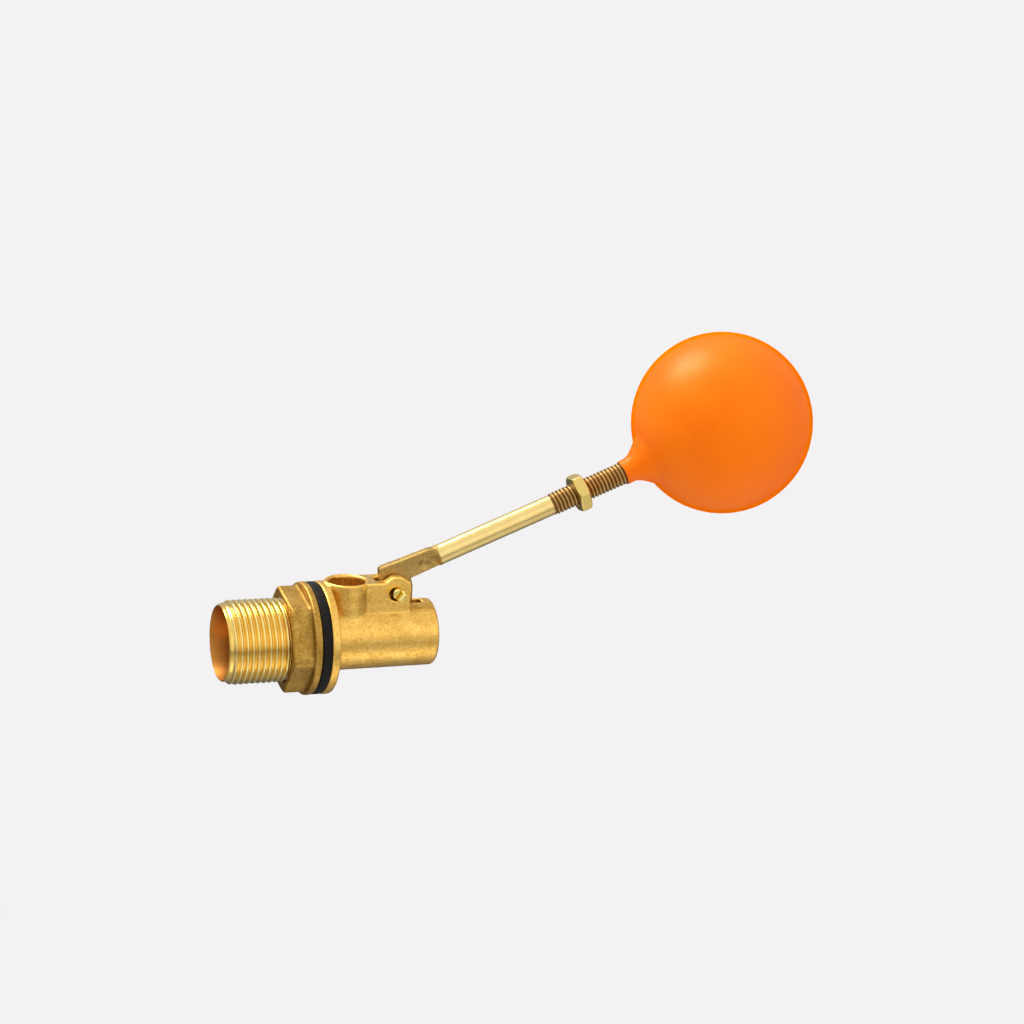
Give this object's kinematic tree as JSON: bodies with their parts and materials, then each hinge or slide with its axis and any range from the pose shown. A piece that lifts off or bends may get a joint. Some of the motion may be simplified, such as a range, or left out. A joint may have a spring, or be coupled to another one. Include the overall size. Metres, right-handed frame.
{
  "type": "float valve",
  "caption": "Threaded brass float valve with clamping backnut and gasket, a hinged lever working a sliding piston, and a hollow plastic ball float on its rod.",
  "frame": {"origin": "on the axis of the threaded shank, at the face of the body flange that the wall gasket bears on", "axes": "+X runs from the threaded shank to the piston end of the body, +Z is the side of the lever, the hinge and the outlet, +Y follows from the right-hand rule; in use the valve hangs the other way up, with +Z downwards"},
  "size_m": [0.2459, 0.074, 0.1414],
  "materials": {
    "cast_brass": "satin, sand cast and tumbled",
    "nut_brass": "rough cast with worn flats",
    "turned_brass": "turned",
    "pin_brass": "bright drawn wire",
    "lever_brass": "drawn rod with a dull cast plate",
    "locknut_brass": "bright machined",
    "seat_plastic": "moulded",
    "gasket_rubber": "matt moulded",
    "washer_rubber": "matt",
    "float_plastic": "smooth moulded, soft gloss"
  },
  "bodies": {
    "valve": {"valve_body": "cast_brass", "seat_nozzle": "seat_plastic", "wall_gasket": "gasket_rubber", "split_pin": "pin_brass"},
    "backnut": {"backnut": "nut_brass"},
    "piston": {"piston": "turned_brass", "piston_cap": "turned_brass", "seat_washer": "washer_rubber"},
    "arm": {"lever_arm": "lever_brass"},
    "locknut": {"locknut": "locknut_brass"},
    "float": {"float_ball": "float_plastic"}
  },
  "joints": [
    {"name": "lever_pivot", "type": "hinge", "parent": "valve", "child": "arm", "pos_m": [0.0304, 0, 0.0187], "axis": [0, -1, 0], "range_deg": [0, 16]},
    {"name": "piston_slide", "type": "slide", "parent": "valve", "child": "piston", "axis": [1, 0, 0], "range_m": [0, 0.004]},
    {"name": "backnut_travel", "type": "slide", "parent": "valve", "child": "backnut", "axis": [-1, 0, 0], "range_m": [0, 0.0245]},
    {"name": "locknut_travel", "type": "slide", "parent": "arm", "child": "locknut", "axis": [0.9298, 0, 0.3681], "range_m": [-0.0088, 0.008]},
    {"name": "float_travel", "type": "slide", "parent": "arm", "child": "float", "axis": [0.9298, 0, 0.3681], "range_m": [-0.008, 0.006]}
  ],
  "couplings": [
    {"joint": "piston_slide", "follows": "lever_pivot", "m_per_rad": 0.01425}
  ]
}
